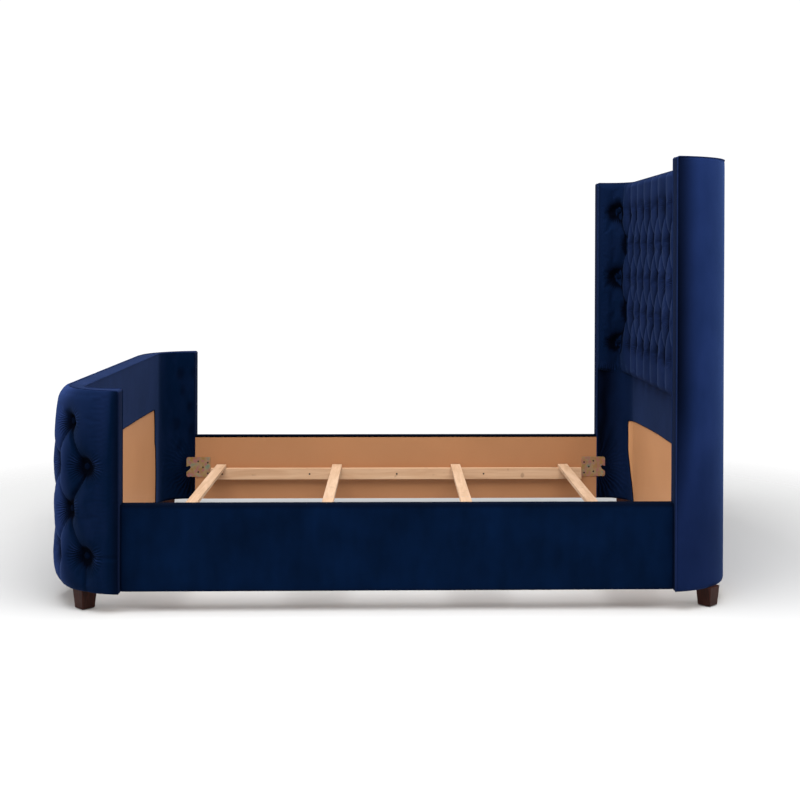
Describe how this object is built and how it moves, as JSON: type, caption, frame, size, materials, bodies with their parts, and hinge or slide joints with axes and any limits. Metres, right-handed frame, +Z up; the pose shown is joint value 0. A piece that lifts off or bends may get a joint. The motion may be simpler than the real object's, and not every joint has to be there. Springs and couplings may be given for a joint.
{
  "type": "wingback bed",
  "caption": "Upholstered bed frame with a tall wrapped tufted headboard, a low tufted footboard with curved ends, padded side rails hooked between them and loose slats.",
  "frame": {"origin": "on the floor under the middle of the bed", "axes": "+Z up, +X from the footboard to the headboard, +Y to the bed's right side rail"},
  "size_m": [2.307, 1.683, 1.504],
  "materials": {
    "velvet": "navy cut velvet",
    "foam_velvet": "foam pad under navy velvet",
    "board": "bare tan fibreboard",
    "frame_timber": "raw timber",
    "pine": "planed pine",
    "walnut": "dark stained wood",
    "zinc": "yellow zinc plated steel",
    "steel": "plain steel",
    "glide": "nylon"
  },
  "bodies": {
    "bed": {"foot_panel_frame": "frame_timber", "foot_face_board": "board", "foot_edge_band": "velvet", "foot_inner_cover": "velvet", "foot_pad_centre": "foam_velvet", "foot_buttons": "velvet", "foot_wing_frame_left": "frame_timber", "foot_pad_left": "foam_velvet", "foot_hook_plate_left": "zinc", "foot_leg_left": "walnut", "foot_wing_frame_right": "frame_timber", "foot_pad_right": "foam_velvet", "foot_hook_plate_right": "zinc", "foot_leg_right": "walnut", "head_panel_frame": "frame_timber", "head_face_board": "board", "head_edge_band": "velvet", "head_inner_cover": "velvet", "head_pad_centre": "foam_velvet", "head_buttons": "velvet", "head_wing_frame_left": "frame_timber", "head_pad_left": "foam_velvet", "head_hook_plate_left": "zinc", "head_leg_left": "walnut", "head_wing_frame_right": "frame_timber", "head_pad_right": "foam_velvet", "head_hook_plate_right": "zinc", "head_leg_right": "walnut", "head_outer_cover": "velvet", "rail_board_left": "board", "rail_cover_left": "foam_velvet", "rail_cleat_left": "pine", "rail_board_right": "board", "rail_cover_right": "foam_velvet", "rail_cleat_right": "pine", "cleat_screws": "steel", "hook_plate_screws": "steel", "hook_pins": "steel", "leg_bolts": "steel", "leg_glides": "glide"},
    "slat_1": {"slat_1": "pine"},
    "slat_2": {"slat_2": "pine", "prop_2": "pine", "prop_screws_2": "steel"},
    "slat_3": {"slat_3": "pine", "prop_3": "pine", "prop_screws_3": "steel"},
    "slat_4": {"slat_4": "pine"},
    "levelling_foot_2": {"levelling_foot_2": "glide"},
    "levelling_foot_3": {"levelling_foot_3": "glide"}
  },
  "joints": [
    {"name": "slat_1_lift", "type": "slide", "parent": "bed", "child": "slat_1", "axis": [0, 0, 1], "range_m": [0, 0.16]},
    {"name": "slat_2_lift", "type": "slide", "parent": "bed", "child": "slat_2", "axis": [0, 0, 1], "range_m": [0, 0.16]},
    {"name": "slat_3_lift", "type": "slide", "parent": "bed", "child": "slat_3", "axis": [0, 0, 1], "range_m": [0, 0.16]},
    {"name": "slat_4_lift", "type": "slide", "parent": "bed", "child": "slat_4", "axis": [0, 0, 1], "range_m": [0, 0.16]},
    {"name": "levelling_foot_2_height", "type": "slide", "parent": "slat_2", "child": "levelling_foot_2", "axis": [0, 0, 1], "range_m": [0, 0.015]},
    {"name": "levelling_foot_3_height", "type": "slide", "parent": "slat_3", "child": "levelling_foot_3", "axis": [0, 0, 1], "range_m": [0, 0.015]}
  ]
}
